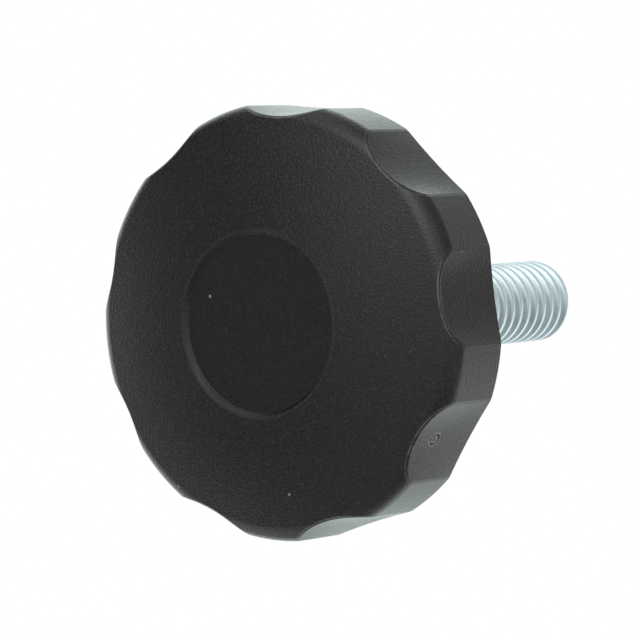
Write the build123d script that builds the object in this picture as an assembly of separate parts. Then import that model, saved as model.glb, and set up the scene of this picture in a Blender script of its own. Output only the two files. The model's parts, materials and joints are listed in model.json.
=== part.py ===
"""Nine-lobed hand knob: a hollow moulding with a domed, fluted rim, around a threaded steel stud.

Frame: +Y runs along the stud towards its free end, +Z is up, and the origin is the centre of the hub's rear seat.
The domed face looks towards -Y. Lengths are in millimetres and angles in degrees.
"""

import os
from math import hypot, radians, sqrt, tan

from build123d import *

# Rim and crown
knob_diameter = 50.0
lobe_count = 9
side_height = 7.2
edge_radius = 2.5
crown_radius = 84.0

# Finger flutes, one between each two lobes
flute_width = 10.7
flute_dish = 0.18
flute_draft = 5.2
flute_reach_share = 1.15
crease_chamfer = 0.2

# Sunk disc in the middle of the face
recess_diameter = 21.2
recess_depth = 0.6
recess_draft = 40.0
recess_edge_chamfer = 0.2

# Hollow underside
crown_wall = 2.6
rim_wall = 2.8
mould_draft = 1.5
inner_corner_chamfer = 1.2
rib_thickness = 1.6
rib_setback = 2.0
rib_rise = 5.0

# Hub
hub_diameter = 22.0
hub_reach = 16.6
hub_edge_chamfer = 0.6

# Stud, and the collar, neck and hexagon that hold it in the hub
stud_diameter = 10.0
stud_length = 30.0
stud_tip_chamfer = 0.6
collar_diameter = 13.0
collar_length = 3.0
neck_diameter = 9.0
neck_length = 2.5
hexagon_across_flats = 13.0
hexagon_length = 7.0

# Ring left by the mould's gate on one flute
gate_flute = 3
gate_height = 6.25
gate_ring_diameter = 1.6
gate_nib_diameter = 1.0
gate_depth = 0.1

# How far a cutting shape runs past what it cuts
overrun = 1.0

# Places along the axis, and radii, that follow from the sizes above
rim_radius = knob_diameter / 2
hub_radius = hub_diameter / 2
recess_radius = recess_diameter / 2
pitch = 360 / lobe_count
rim_back = -hub_reach
side_front = rim_back - side_height
crown_center = side_front + sqrt((crown_radius - edge_radius) ** 2 - (rim_radius - edge_radius) ** 2)
crown_apex = crown_center - crown_radius
crease_level = sqrt(rim_radius**2 - (flute_width / 2) ** 2)


def crown_level(radius, depth=0.0):
    """Place along the axis of the crown, or of a surface at a depth under it, at a radius."""
    return crown_center - sqrt((crown_radius - depth) ** 2 - radius**2)


def rim_inside(place):
    """Inner radius of the rim, which narrows towards the crown."""
    return rim_radius - rim_wall - (rim_back - place) * tan(radians(mould_draft))


def between(center, start, end, radius):
    """Point midway on the short arc of a circle from start to end."""
    middle = ((start[0] + end[0]) / 2 - center[0], (start[1] + end[1]) / 2 - center[1])
    scale = radius / hypot(*middle)
    return (center[0] + middle[0] * scale, center[1] + middle[1] * scale)


def corner(section, point):
    """Corner of a section that lies nearest to a point."""
    return section.vertices().sort_by_distance(point)[0]


def outer_section():
    """Half section of the solid form: crown, rounded edge, straight side and hub."""
    edge_center = (rim_radius - edge_radius, side_front)
    reach = crown_radius / (crown_radius - edge_radius)
    tangent = (edge_center[0] * reach, crown_center + (side_front - crown_center) * reach)
    apex = (0, crown_apex)
    side_start = (rim_radius, side_front)
    rim_end = (rim_radius, rim_back)
    outline = ThreePointArc(apex, between((0, crown_center), apex, tangent, crown_radius), tangent)
    outline += ThreePointArc(tangent, between(edge_center, tangent, side_start, edge_radius), side_start)
    outline += Polyline(side_start, rim_end, (hub_radius, rim_back), (hub_radius, 0), (0, 0), apex)
    section = make_face(outline)
    return chamfer(corner(section, (hub_radius, 0)), hub_edge_chamfer)


def sunk_section(section):
    """Section with the flat-floored disc sunk into its crown, its wall slanted and its edge broken."""
    edge = crown_level(recess_radius)
    floor = edge + recess_depth
    front = crown_apex - overrun
    slope = tan(radians(recess_draft))
    outline = Polyline(
        (0, floor),
        (recess_radius - recess_depth * slope, floor),
        (recess_radius + (edge - front) * slope, front),
        (0, front),
        close=True,
    )
    sunk = section - make_face(outline)
    return chamfer(corner(sunk, (recess_radius, edge)), recess_edge_chamfer)


def hollow_section():
    """Half section of the ring-shaped hollow between the hub and the rim, with a sloping ceiling under the crown."""
    rim_top = crown_level(rim_inside(crown_apex), crown_wall)
    rim_corner = (rim_inside(rim_top), rim_top)
    outline = Polyline(
        (hub_radius, crown_level(hub_radius, crown_wall)),
        rim_corner,
        (rim_inside(rim_back), rim_back),
        (hub_radius, rim_back),
        close=True,
    )
    return chamfer(corner(make_face(outline), rim_corner), inner_corner_chamfer)


def flute_shape(height):
    """Dish and radius of a flute's section at a height over the rim's back edge."""
    dish = flute_dish + height * tan(radians(flute_draft))
    return dish, ((flute_width / 2) ** 2 + dish**2) / (2 * dish)


def flute_level(offset, height):
    """Distance of a flute's floor from the axis, at a sideways offset and a height over the back edge."""
    dish, radius = flute_shape(height)
    return crease_level - dish + radius - sqrt(radius**2 - offset**2)


def flute_section(height):
    """Section of the scoop that cuts the top flute, across the axis."""
    reach = flute_width / 2 * flute_reach_share
    side = flute_level(reach, height)
    top = rim_radius + flute_width / 2
    outline = ThreePointArc((-reach, side), (0, flute_level(0, height)), (reach, side))
    outline += Polyline((reach, side), (reach, top), (-reach, top), (-reach, side))
    across = Plane(origin=(0, rim_back - height, 0), x_dir=(1, 0, 0), z_dir=(0, -1, 0))
    return across * make_face(outline)


def fluted_shell():
    """Hollow turned form with its flutes, each crease broken by a narrow chamfer but the back edge left sharp."""
    front = rim_back - crown_apex + overrun
    scoop = loft([flute_section(-overrun), flute_section(front)], ruled=True)
    scoops = [Rot(0, pitch * index, 0) * scoop for index in range(lobe_count)]
    blank = revolve(sunk_section(outer_section()) - hollow_section(), Axis.Y)
    fluted = blank - scoops
    curves = fluted.edges().filter_by(GeomType.BSPLINE)
    creases = curves.filter_by(lambda edge: edge.center().Y < rim_back - crease_chamfer)
    return chamfer(creases, crease_chamfer)


def rib():
    """Web from the hub to the rim, its rear edge sloping up to the hub."""
    hub_end = hub_radius - rib_thickness / 2
    rim_end = rim_radius - rim_wall / 2
    outline = Polyline(
        (hub_end, crown_level(hub_end, crown_wall / 2)),
        (rim_end, crown_level(rim_end, crown_wall / 2)),
        (rim_end, rim_back - rib_setback),
        (hub_end, rim_back + rib_rise),
        close=True,
    )
    return extrude(make_face(outline), rib_thickness / 2, both=True)


def gate_ring():
    """Round groove with a nib left in its middle, sunk into the gate's flute."""
    bottom = flute_level(0, gate_height) - gate_depth
    ring = Circle(gate_ring_diameter / 2) - Circle(gate_nib_diameter / 2)
    groove = Pos(0, rim_back - gate_height, bottom) * extrude(ring, gate_depth + overrun)
    return Rot(0, pitch * gate_flute, 0) * groove


def threaded_stud():
    """Stud with a chamfered free end, a collar flush with the hub's seat, a retaining neck and a hexagon."""
    stud_radius = stud_diameter / 2
    collar_radius = collar_diameter / 2
    neck_radius = neck_diameter / 2
    neck_start = -collar_length
    hexagon_start = neck_start - neck_length
    outline = Polyline(
        (0, stud_length),
        (stud_radius - stud_tip_chamfer, stud_length),
        (stud_radius, stud_length - stud_tip_chamfer),
        (stud_radius, 0),
        (collar_radius, 0),
        (collar_radius, neck_start),
        (neck_radius, neck_start),
        (neck_radius, hexagon_start),
        (0, hexagon_start),
        close=True,
    )
    across = Plane(origin=(0, hexagon_start, 0), x_dir=(1, 0, 0), z_dir=(0, -1, 0))
    hexagon = RegularPolygon(hexagon_across_flats / 2, 6, major_radius=False)
    return revolve(make_face(outline), Axis.Y) + extrude(across * hexagon, hexagon_length)


def knob_body(stud):
    """Moulding with its ribs, one behind each lobe, closed around the stud."""
    ribs = [Rot(0, pitch * (index + 1 / 2) - 90, 0) * rib() for index in range(lobe_count)]
    return fluted_shell() + ribs - stud - gate_ring()


def main():
    os.makedirs("parts", exist_ok=True)
    stud = threaded_stud()
    export_step(stud, "parts/threaded_stud.step")
    export_step(knob_body(stud), "parts/knob_body.step")


if __name__ == "__main__":
    main()
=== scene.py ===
"""Lobe knob: black grained moulding around a zinc-plated threaded stud. Metres, in the part's own frame."""

import json
import math

import bmesh
import bpy
from mathutils import Matrix, Vector


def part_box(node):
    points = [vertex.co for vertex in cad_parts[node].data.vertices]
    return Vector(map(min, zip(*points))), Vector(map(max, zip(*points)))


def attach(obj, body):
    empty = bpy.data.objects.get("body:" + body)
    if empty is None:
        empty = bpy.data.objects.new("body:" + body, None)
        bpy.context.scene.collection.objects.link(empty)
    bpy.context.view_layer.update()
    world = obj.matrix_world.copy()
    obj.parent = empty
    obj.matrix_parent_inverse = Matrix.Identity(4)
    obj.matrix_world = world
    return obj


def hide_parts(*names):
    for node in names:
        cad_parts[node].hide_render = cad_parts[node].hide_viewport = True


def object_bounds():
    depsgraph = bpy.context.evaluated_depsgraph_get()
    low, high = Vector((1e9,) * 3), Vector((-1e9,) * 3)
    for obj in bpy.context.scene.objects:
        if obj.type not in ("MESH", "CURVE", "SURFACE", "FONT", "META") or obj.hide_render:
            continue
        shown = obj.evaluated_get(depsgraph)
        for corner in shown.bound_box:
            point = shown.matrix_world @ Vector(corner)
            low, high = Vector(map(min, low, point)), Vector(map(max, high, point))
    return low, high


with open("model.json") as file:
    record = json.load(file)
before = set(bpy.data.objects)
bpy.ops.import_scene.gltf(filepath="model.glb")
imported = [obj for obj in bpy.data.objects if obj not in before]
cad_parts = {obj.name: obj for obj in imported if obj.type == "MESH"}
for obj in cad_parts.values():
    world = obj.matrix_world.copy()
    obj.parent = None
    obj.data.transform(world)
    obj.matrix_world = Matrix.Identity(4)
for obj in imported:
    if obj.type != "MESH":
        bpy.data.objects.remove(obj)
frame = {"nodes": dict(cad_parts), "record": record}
cad_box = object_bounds()

MM = 0.001
mounts = {mount["name"]: mount for mount in frame["record"]["mounts"]}
stud_low, stud_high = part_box("threaded_stud")

# Places on the moulding: its rim, its sunk disc, and the radius outside which creases get rubbed wear and a
# painted highlight
rim_back = -16.6 * MM
disc_radius = 10.1 * MM
disc_front = -24.5 * MM
disc_fade = 0.1 * MM
disc_lip_radius = disc_radius + 0.55 * MM
rubbed_and_highlit_from = 22.7 * MM
rubbed_and_highlit_full = 23.1 * MM

# Moulding's finish: pattern scales in cells per metre, depths, and tones from the dark ground to the dust
grain_scale = 4200.0
pit_scale = 3600.0
cloud_scale = 140.0
wear_scale = 900.0
dust_scale = 190.0
painted_glint_scale = 2000.0
grain_strength = 0.7
grain_depth = 0.037 * MM
crease_rounding = 0.10 * MM
crease_reach = 0.22 * MM
plastic_roughness = 0.17
plastic_ground = (0.0060, 0.0060, 0.0060, 1.0)
plastic_cloud = (0.0065, 0.0065, 0.0064, 1.0)
plastic_grain = (0.0150, 0.0150, 0.0150, 1.0)
# Painted highlight: pale tone of the glint specks, standing in for grain facets catching light
plastic_painted_glint = (0.055, 0.055, 0.055, 1.0)
# Rubbed wear and painted highlight: pale tone of the convex creases
plastic_rubbed_and_highlit = (0.200, 0.202, 0.200, 1.0)
dust_grey = (0.25, 0.25, 0.24, 1.0)

# Zinc's finish: pattern scales in cells per metre, depth of its fine marks, and cloudy tones
zinc_cloud_scale = 420.0
zinc_blot_scale = 160.0
zinc_mark_scale = 6500.0
zinc_mark_strength = 0.06
zinc_mark_depth = 0.01 * MM
zinc_roughness = 0.32
zinc_deep = (0.64, 0.77, 0.81, 1.0)
zinc_pale = (0.76, 0.88, 0.91, 1.0)
zinc_blot = (0.75, 0.83, 0.84, 1.0)

# Stud thread, as coarse as it looks beside the stud's diameter
thread_radius = mounts["stud"]["dims"]["r_mm"] * MM
thread_pitch = 1.75 * MM
thread_depth = 0.54 * thread_pitch
thread_runout = 1.2 * thread_pitch
thread_length = stud_high.y
tip_chamfer = thread_length - mounts["stud"]["dims"]["length_mm"] * MM
crest_share = 0.42
root_share = 0.16
corner_share = 0.85
rows_per_pitch = 24
steps_per_turn = 96
spare_turns = 2
weld_distance = 0.001 * MM
sharp_angle = math.radians(38)

# Collar, neck and hexagon that hold the stud in the hub
collar_radius = 6.5 * MM
collar_end = -3.0 * MM
neck_radius = 4.5 * MM
neck_end = -5.5 * MM
hexagon_half = stud_high.z
hexagon_end = stud_low.y

# Camera of the photograph, aimed near the middle of the rim's back edge
camera_azimuth = math.radians(35.51)
camera_elevation = math.radians(4.39)
camera_roll = math.radians(1.32)
camera_distance = 450.0 * MM
camera_right = 0.067 * MM
camera_up = -0.146 * MM
camera_near = 10.0 * MM
focal_pixels = 3910.0
picture_pixels = 640
sensor_width = 36.0

# Light that every surface gets from the studio, and the dim level that reflections see between its lights
studio_ambient = 0.42
studio_dim = 0.22

# Soft lights of the studio, which only reflections see: direction, the cosines of the angles to it at which
# the light begins and is full, and its strength, which is negative for a dark card
studio_lights = [
    ((-0.58, 0.81, -0.08), 0.35, 0.75, 0.48),
    ((-0.58, 0.81, -0.08), -0.15, 0.40, 0.30),
    ((-0.58, 0.78, 0.25), 0.86, 0.985, 0.75),
    ((-0.58, 0.72, -0.38), 0.86, 0.985, 0.32),
    ((0.57, 0.81, 0.15), 0.88, 0.985, 0.13),
    ((0.40, 0.70, -0.60), 0.75, 0.97, 0.54),
    ((0.98, -0.10, 0.00), 0.75, 0.97, 0.38),
    ((0.55, -0.83, 0.00), 0.82, 0.98, 0.30),
    ((0.60, -0.62, 0.50), 0.82, 0.97, 0.54),
    ((0.40, -0.45, 0.80), 0.84, 0.97, 0.42),
    ((-0.30, -0.50, 0.81), 0.82, 0.97, 0.58),
    ((0.05, -0.80, 0.60), 0.90, 0.985, 1.05),
    ((-0.15, -0.90, 0.42), 0.85, 0.99, 0.40),
    ((-0.08, -0.99, 0.00), 0.85, 0.99, 0.30),
    ((-0.20, -0.60, -0.78), 0.80, 0.97, 0.20),
    ((0.22, -0.80, 0.56), 0.92, 0.99, 0.45),
    ((0.57, 0.05, 0.82), 0.80, 0.97, 0.26),
    ((-0.92, -0.12, 0.40), 0.90, 0.975, -0.42),
    ((-0.97, 0.18, -0.15), 0.88, 0.98, 0.75),
    ((-0.64, -0.30, -0.71), 0.92, 0.985, 0.60),
    ((0.12, 0.30, -0.95), 0.82, 0.97, 0.18),
    ((0.40, -0.40, -0.82), 0.88, 0.98, 0.06),
    ((-0.38, 0.05, 0.92), 0.85, 0.98, 0.22),
]

# Tint of the lights behind the knob, and the cosines of the angles to the camera's line at which it begins
# and is full
studio_tint = (0.87, 1.0, 0.98, 1.0)
tint_from = 0.35
tint_full = 0.9

# Floor under the knob, which passes into the white backdrop away from it
floor_drop = 40.0 * MM
floor_size = 6.0
floor_near = 60.0 * MM
floor_far = 170.0 * MM
floor_white_share = 0.6
floor_paint = (0.9, 0.9, 0.9, 1.0)
white = (1.0, 1.0, 1.0, 1.0)

# Soft square lamps: place, side and watts
lamps = {
    "key": ((-0.25, -0.45, 0.75), 0.6, 4.5),
    "fill": ((0.5, -0.7, 0.15), 0.6, 2.2),
}


class Value:
    """A node socket in a plain expression: each operator adds the Math node that works it out."""

    def __init__(self, tree, socket):
        self.tree = tree
        self.socket = socket

    def math(self, operation, *others):
        node = self.tree.nodes.new("ShaderNodeMath")
        node.operation = operation
        for place, item in enumerate((self, *others)):
            plug(self.tree, item, node.inputs[place])
        return Value(self.tree, node.outputs[0])

    def __add__(self, other):
        return self.math("ADD", other)

    __radd__ = __add__

    def __mul__(self, other):
        return self.math("MULTIPLY", other)

    __rmul__ = __mul__

    def __sub__(self, other):
        return self.math("SUBTRACT", other)

    def __rsub__(self, other):
        return self * -1.0 + other

    def __truediv__(self, other):
        return self.math("DIVIDE", other)

    def __pow__(self, other):
        return self.math("POWER", other)

    def __abs__(self):
        return self.math("ABSOLUTE")

    def clamped(self, low=0.0, high=1.0):
        return self.math("MAXIMUM", low).math("MINIMUM", high)

    def step(self, start, end):
        """Goes smoothly from 0 at start to 1 at end, where start may also be the larger."""
        share = ((self - start) / (end - start)).clamped()
        return share * share * (3.0 - 2.0 * share)


def plug(tree, item, socket):
    """Links a value to a socket, or sets a plain number, colour or vector on it."""
    if isinstance(item, Value):
        tree.links.new(item.socket, socket)
    else:
        socket.default_value = item


class Nodes:
    """Node tree being written: each node comes from one method."""

    def __init__(self, tree):
        self.tree = tree

    def node(self, kind, settings=None, output=0, **sockets):
        """Adds a node, sets its settings, feeds its sockets by name or by place, and gives one output."""
        made = self.tree.nodes.new(kind)
        for name, setting in (settings or {}).items():
            setattr(made, name, setting)
        for name, item in sockets.items():
            key = int(name[1:]) if name[0] == "_" else name.replace("_", " ")
            plug(self.tree, item, made.inputs[key])
        return Value(self.tree, made.outputs[output])

    def end(self, kind, result):
        """Adds the tree's output node, with the result in its first socket."""
        plug(self.tree, result, self.tree.nodes.new(kind).inputs[0])

    def parts(self, vector):
        """The three components of a vector."""
        split = self.tree.nodes.new("ShaderNodeSeparateXYZ")
        plug(self.tree, vector, split.inputs[0])
        return [Value(self.tree, socket) for socket in split.outputs]

    def dot(self, vector, direction):
        """How far a vector points along a fixed direction."""
        settings = {"operation": "DOT_PRODUCT"}
        return self.node("ShaderNodeVectorMath", settings, output="Value", _0=vector, _1=direction)

    def mix(self, share, first, second):
        """Colour that goes from first to second."""
        settings = {"data_type": "RGBA", "clamp_factor": True}
        return self.node("ShaderNodeMix", settings, output=2, _0=share, _6=first, _7=second)

    def noise(self, place, scale, detail, roughness):
        """Cloudy pattern at a place."""
        return self.node("ShaderNodeTexNoise", Vector=place, Scale=scale, Detail=detail, Roughness=roughness)

    def specks(self, place, scale, size, lot):
        """Round specks, of a size from edge to core, in those of a pattern's cells that the lot picks."""
        cells = {"feature": "F1"}
        distance = self.node("ShaderNodeTexVoronoi", cells, Vector=place, Scale=scale)
        draw = self.node("ShaderNodeTexVoronoi", cells, output="Color", Vector=place, Scale=scale)
        return distance.step(*size) * self.parts(draw)[0].step(*lot)


def shader(name):
    """New material with an empty tree, and its writer."""
    material = bpy.data.materials.new(name)
    material.use_nodes = True
    material.node_tree.nodes.clear()
    return material, Nodes(material.node_tree)


def black_plastic():
    """Black moulding compound: a fine eroded grain, fainter on the sunk disc, creases painted lighter as
    rubbed wear and painted highlight, painted glints, and dust.
    """
    material, nodes = shader("black_grained_plastic")
    place = nodes.node("ShaderNodeTexCoord", output="Object")
    x, y, z = nodes.parts(place)
    axis_distance = (x * x + z * z) ** 0.5
    on_face = y.step(disc_front + 1.0 * MM, disc_front)
    on_disc = axis_distance.step(disc_radius + disc_fade, disc_radius - disc_fade) * on_face
    on_lip = abs(axis_distance - disc_lip_radius).step(0.2 * MM, 0.12 * MM) * on_face

    grain = nodes.noise(place, grain_scale, 1.0, 0.5)
    cloud = nodes.noise(place, cloud_scale, 3.0, 0.5)
    wear = nodes.noise(place, wear_scale, 2.0, 0.6)
    smooth = {"feature": "SMOOTH_F1"}
    pits = nodes.node("ShaderNodeTexVoronoi", smooth, Vector=place, Scale=pit_scale, Smoothness=0.3)
    dust = nodes.specks(place, dust_scale, (0.045, 0.02), (0.35, 0.4))
    # Painted highlights: sparse pale specks in the base colour, as glints off the grain
    painted_glints = nodes.specks(place, painted_glint_scale, (0.18, 0.09), (0.68, 0.80))

    height = (grain + pits * 0.8) * (1.0 - on_disc * 0.65)
    soft = nodes.node("ShaderNodeBevel", {"samples": 6}, Radius=crease_rounding)
    normal = nodes.node(
        "ShaderNodeBump",
        Strength=grain_strength,
        Distance=grain_depth,
        Height=height,
        Normal=soft,
    )

    # Convex creases painted lighter, partly as rubbed wear and partly as a painted highlight
    off_edge = y.step(rim_back - 0.3 * MM, rim_back - 0.6 * MM)
    outside = axis_distance.step(rubbed_and_highlit_from, rubbed_and_highlit_full) * off_edge
    inward = {"samples": 8, "inside": True, "only_local": True}
    filled = nodes.node("ShaderNodeAmbientOcclusion", inward, output="AO", Distance=crease_reach)
    worn_and_highlit = filled.step(0.96, 0.84) * outside * (0.35 + wear.step(0.35, 0.6) * 0.65)

    ground = nodes.mix(cloud.step(0.3, 0.7), plastic_ground, plastic_cloud)
    grained = nodes.mix(grain.step(0.45, 0.7) * (1.0 - on_disc * 0.5), ground, plastic_grain)
    with_painted_glints = nodes.mix(painted_glints * (1.0 - on_disc * 0.6), grained, plastic_painted_glint)
    rubbed_and_highlit = nodes.mix(worn_and_highlit, with_painted_glints, plastic_rubbed_and_highlit)
    color = nodes.mix(dust * 0.7, rubbed_and_highlit, dust_grey)
    roughness = plastic_roughness + wear * 0.05 + grain * 0.16 + on_disc * 0.04 + on_lip * 0.3 + dust * 0.2
    finish = nodes.node(
        "ShaderNodeBsdfPrincipled",
        Base_Color=color,
        Roughness=roughness,
        IOR=1.5,
        Normal=normal,
    )
    nodes.end("ShaderNodeOutputMaterial", finish)
    return material


def zinc_plate():
    """Bright zinc over rolled steel: bluish, a little cloudy, with fine marks."""
    material, nodes = shader("bright_zinc_plate")
    place = nodes.node("ShaderNodeTexCoord", output="Object")
    cloud = nodes.noise(place, zinc_cloud_scale, 3.0, 0.6)
    blot = nodes.noise(place, zinc_blot_scale, 2.0, 0.5)
    fine = nodes.noise(place, zinc_mark_scale, 2.0, 0.6)

    blue = nodes.mix(cloud.step(0.3, 0.7), zinc_deep, zinc_pale)
    color = nodes.mix(blot.step(0.55, 0.75) * 0.5, blue, zinc_blot)
    normal = nodes.node(
        "ShaderNodeBump",
        Strength=zinc_mark_strength,
        Distance=zinc_mark_depth,
        Height=fine,
    )
    finish = nodes.node(
        "ShaderNodeBsdfPrincipled",
        Base_Color=color,
        Roughness=zinc_roughness + cloud * 0.14 + fine * 0.06,
        Metallic=1.0,
        Normal=normal,
    )
    nodes.end("ShaderNodeOutputMaterial", finish)
    return material


def thread_tree():
    """Tree that rolls a thread along +Y from a grid: rows follow the helix, columns go round the stud."""
    tree = bpy.data.node_groups.new("rolled_thread", "GeometryNodeTree")
    tree.is_modifier = True
    tree.interface.new_socket("Thread", in_out="OUTPUT", socket_type="NodeSocketGeometry")
    for name in ("Radius", "Pitch", "Depth", "Length", "Runout", "Chamfer"):
        tree.interface.new_socket(name, in_out="INPUT", socket_type="NodeSocketFloat")
    for name in ("Turns", "Rows", "Columns"):
        tree.interface.new_socket(name, in_out="INPUT", socket_type="NodeSocketInt")
    tree.interface.new_socket("Finish", in_out="INPUT", socket_type="NodeSocketMaterial")

    nodes = Nodes(tree)
    inlet = tree.nodes.new("NodeGroupInput")
    given = {socket.name: Value(tree, socket) for socket in inlet.outputs if socket.name}
    radius, pitch, length = given["Radius"], given["Pitch"], given["Length"]
    grid = nodes.node(
        "GeometryNodeMeshGrid",
        Size_X=1.0,
        Size_Y=1.0,
        Vertices_X=given["Rows"],
        Vertices_Y=given["Columns"],
    )
    along, around = nodes.parts(nodes.node("GeometryNodeInputPosition"))[:2]
    turn = around + 0.5
    travel = ((along + 0.5) * given["Turns"] + turn - 1.0) * pitch
    height = travel.clamped(0.0, length)
    phase = (height / pitch - turn).math("FRACT")
    flank = (abs(phase - 0.5) * 2.0 - crest_share) / (1.0 - crest_share - root_share)
    cut = flank.math("SMOOTH_MIN", 1.0, corner_share).math("SMOOTH_MAX", 0.0, corner_share)
    thread = radius - given["Depth"] * cut * (height / given["Runout"]).clamped()
    cone = radius - given["Chamfer"] + length - height
    closing = 1.0 - ((travel - length) / pitch).clamped()
    reach = thread.math("MINIMUM", cone) * closing
    angle = turn * math.tau
    sideways, upright = reach * angle.math("SINE"), reach * angle.math("COSINE")
    spot = nodes.node("ShaderNodeCombineXYZ", X=sideways, Y=height, Z=upright)
    wound = nodes.node("GeometryNodeSetPosition", Geometry=grid, Position=spot)
    closed = nodes.node("GeometryNodeMergeByDistance", Geometry=wound, Distance=weld_distance)
    real = nodes.node("GeometryNodeRealizeInstances", Geometry=closed)
    finished = nodes.node("GeometryNodeSetMaterial", Geometry=real, Material=given["Finish"])
    nodes.end("NodeGroupOutput", finished)
    return tree


def made_mesh(tree, sizes):
    """Plain mesh that a tree gives with these sizes, each set by its socket's identifier."""
    carrier = bpy.data.objects.new(tree.name, bpy.data.meshes.new(tree.name))
    bpy.context.scene.collection.objects.link(carrier)
    modifier = carrier.modifiers.new(tree.name, "NODES")
    modifier.node_group = tree
    for item in tree.interface.items_tree:
        if item.item_type == "SOCKET" and item.in_out == "INPUT":
            modifier[item.identifier] = sizes[item.name]
    ready = carrier.evaluated_get(bpy.context.evaluated_depsgraph_get())
    mesh = bpy.data.meshes.new_from_object(ready)
    carrier.modifiers.remove(modifier)
    bpy.data.objects.remove(carrier)
    return mesh


def hexagon_reach(angle):
    """Distance of the hexagon's outline from the axis at an angle from +Z, where a flat is."""
    sixth = math.pi / 3
    return hexagon_half / math.cos((angle + sixth / 2) % sixth - sixth / 2)


def add_anchor(mesh):
    """Adds the collar, neck and hexagon to the thread's open end, as rings of the same columns."""
    form = bmesh.new()
    form.from_mesh(mesh)
    rim = {vertex for edge in form.edges if edge.is_boundary for vertex in edge.verts}
    ring = sorted(rim, key=lambda vertex: math.atan2(vertex.co.x, vertex.co.z))
    angles = [math.atan2(vertex.co.x, vertex.co.z) for vertex in ring]
    hexagon = [hexagon_reach(angle) for angle in angles]
    rounds = [
        ([collar_radius] * len(ring), 0.0),
        ([collar_radius] * len(ring), collar_end),
        ([neck_radius] * len(ring), collar_end),
        ([neck_radius] * len(ring), neck_end),
        (hexagon, neck_end),
        (hexagon, hexagon_end),
    ]
    for reaches, height in rounds:
        following = [
            form.verts.new((reach * math.sin(angle), height, reach * math.cos(angle)))
            for reach, angle in zip(reaches, angles)
        ]
        for index in range(len(ring)):
            form.faces.new((ring[index - 1], ring[index], following[index], following[index - 1]))
        ring = following
    form.faces.new(ring)
    bmesh.ops.recalc_face_normals(form, faces=form.faces)
    form.to_mesh(mesh)
    form.free()


def threaded_stud(finish):
    """Stud with its rolled thread, chamfered tip and hidden anchor, as one piece."""
    turns = math.ceil(thread_length / thread_pitch) + spare_turns
    sizes = {
        "Radius": thread_radius,
        "Pitch": thread_pitch,
        "Depth": thread_depth,
        "Length": thread_length,
        "Runout": thread_runout,
        "Chamfer": tip_chamfer,
        "Turns": turns,
        "Rows": turns * rows_per_pitch + 1,
        "Columns": steps_per_turn + 1,
        "Finish": finish,
    }
    mesh = made_mesh(thread_tree(), sizes)
    add_anchor(mesh)
    mesh.materials.clear()
    mesh.materials.append(finish)
    mesh.polygons.foreach_set("use_smooth", [True] * len(mesh.polygons))
    mesh.set_sharp_from_angle(angle=sharp_angle)
    stud = bpy.data.objects.new("rolled_stud", mesh)
    bpy.context.scene.collection.objects.link(stud)
    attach(stud, "root")
    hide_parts("threaded_stud")


def camera_back():
    """Direction from the knob to the camera."""
    across = math.cos(camera_elevation)
    return Vector((
        math.sin(camera_azimuth) * across,
        -math.cos(camera_azimuth) * across,
        math.sin(camera_elevation),
    ))


def add_camera():
    """Camera at the photograph's viewing angle."""
    back = camera_back()
    level = Vector((math.cos(camera_azimuth), math.sin(camera_azimuth), 0.0))
    upright = back.cross(level)
    right = level * math.cos(camera_roll) + upright * math.sin(camera_roll)
    up = upright * math.cos(camera_roll) - level * math.sin(camera_roll)
    place = Vector((0.0, rim_back, 0.0)) + right * camera_right + up * camera_up + back * camera_distance
    lens = bpy.data.cameras.new("camera")
    lens.sensor_width = sensor_width
    lens.lens = focal_pixels / picture_pixels * sensor_width
    lens.clip_start = camera_near
    camera = bpy.data.objects.new("camera", lens)
    camera.matrix_world = Matrix.Translation(place) @ Matrix((right, up, back)).transposed().to_4x4()
    bpy.context.scene.collection.objects.link(camera)
    bpy.context.scene.camera = camera


def white_floor():
    """White paint that keeps the knob's shadow, fades into the backdrop and is clear from below."""
    material, nodes = shader("white_floor")
    seen = nodes.node("ShaderNodeLightPath", output="Is Camera Ray")
    x, y = nodes.parts(nodes.node("ShaderNodeTexCoord", output="Object"))[:2]
    away = ((x * x + y * y) ** 0.5).step(floor_near, floor_far)
    white_share = floor_white_share + away * (1.0 - floor_white_share)
    paint = nodes.node("ShaderNodeBsdfDiffuse", Color=floor_paint)
    glow = nodes.node("ShaderNodeEmission", Color=white, Strength=1.0)
    both = nodes.node("ShaderNodeMixShader", _0=seen * white_share, _1=paint, _2=glow)
    below = nodes.node("ShaderNodeNewGeometry", output="Backfacing")
    clear = nodes.node("ShaderNodeBsdfTransparent")
    sided = nodes.node("ShaderNodeMixShader", _0=below, _1=both, _2=clear)
    nodes.end("ShaderNodeOutputMaterial", sided)
    return material


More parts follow.
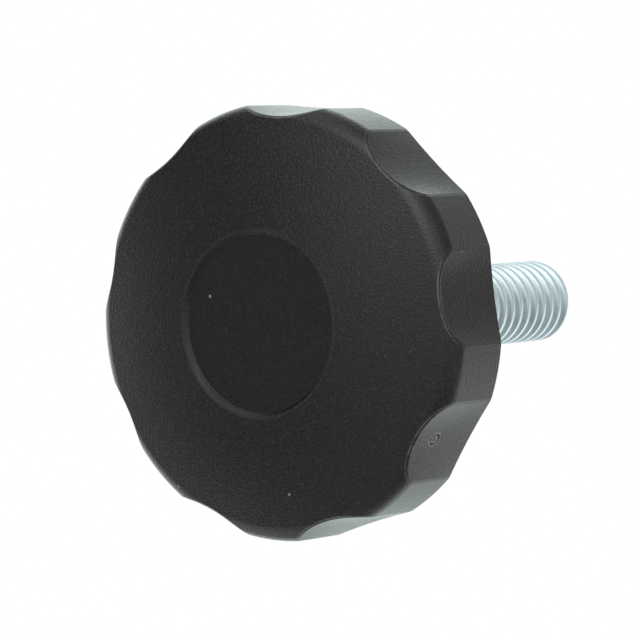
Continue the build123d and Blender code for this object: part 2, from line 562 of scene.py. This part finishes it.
def add_floor():
    """Plain floor under the knob, which reflections don't see."""
    half = floor_size / 2
    level = cad_box[0][2] - floor_drop
    corners = [(-half, -half, level), (half, -half, level), (half, half, level), (-half, half, level)]
    mesh = bpy.data.meshes.new("floor")
    mesh.from_pydata(corners, [], [(0, 1, 2, 3)])
    mesh.materials.append(white_floor())
    floor = bpy.data.objects.new("floor", mesh)
    floor.visible_glossy = False
    bpy.context.scene.collection.objects.link(floor)


def add_world():
    """White backdrop, which reflections see as brightest behind the knob and dim on the camera's side."""
    world = bpy.data.worlds.new("studio")
    world.use_nodes = True
    world.cycles.sampling_method = "NONE"
    world.node_tree.nodes.clear()
    nodes = Nodes(world.node_tree)
    seen = nodes.node("ShaderNodeLightPath", output="Is Camera Ray")
    glossy = nodes.node("ShaderNodeLightPath", output="Is Glossy Ray")
    way = nodes.node("ShaderNodeTexCoord", output="Generated")
    room = studio_dim
    for direction, start, full, strength in studio_lights:
        room = nodes.dot(way, Vector(direction).normalized()).step(start, full) * strength + room
    unseen = glossy * room.math("MAXIMUM", 0.0) + (1.0 - glossy) * studio_ambient
    level = seen + (1.0 - seen) * unseen
    behind = nodes.dot(way, camera_back() * -1.0).step(tint_from, tint_full)
    tint = nodes.mix(glossy * behind, white, studio_tint)
    light = nodes.node("ShaderNodeBackground", Color=tint, Strength=level)
    nodes.end("ShaderNodeOutputWorld", light)
    bpy.context.scene.world = world


def add_lamp(name, place, side, watts):
    """Soft square lamp aimed at the knob, kept out of the reflections."""
    lamp = bpy.data.lights.new(name, "AREA")
    lamp.shape = "SQUARE"
    lamp.size = side
    lamp.energy = watts
    item = bpy.data.objects.new(name, lamp)
    item.location = Vector(place)
    aim = Vector((0.0, rim_back, 0.0)) - item.location
    item.rotation_euler = aim.to_track_quat("-Z", "Y").to_euler()
    item.visible_glossy = False
    bpy.context.scene.collection.objects.link(item)


bpy.context.scene.view_settings.view_transform = "Standard"
frame["nodes"]["knob_body"].material_slots[0].material = black_plastic()
threaded_stud(zinc_plate())
add_camera()
add_floor()
add_world()
for name, (place, side, watts) in lamps.items():
    add_lamp(name, place, side, watts)
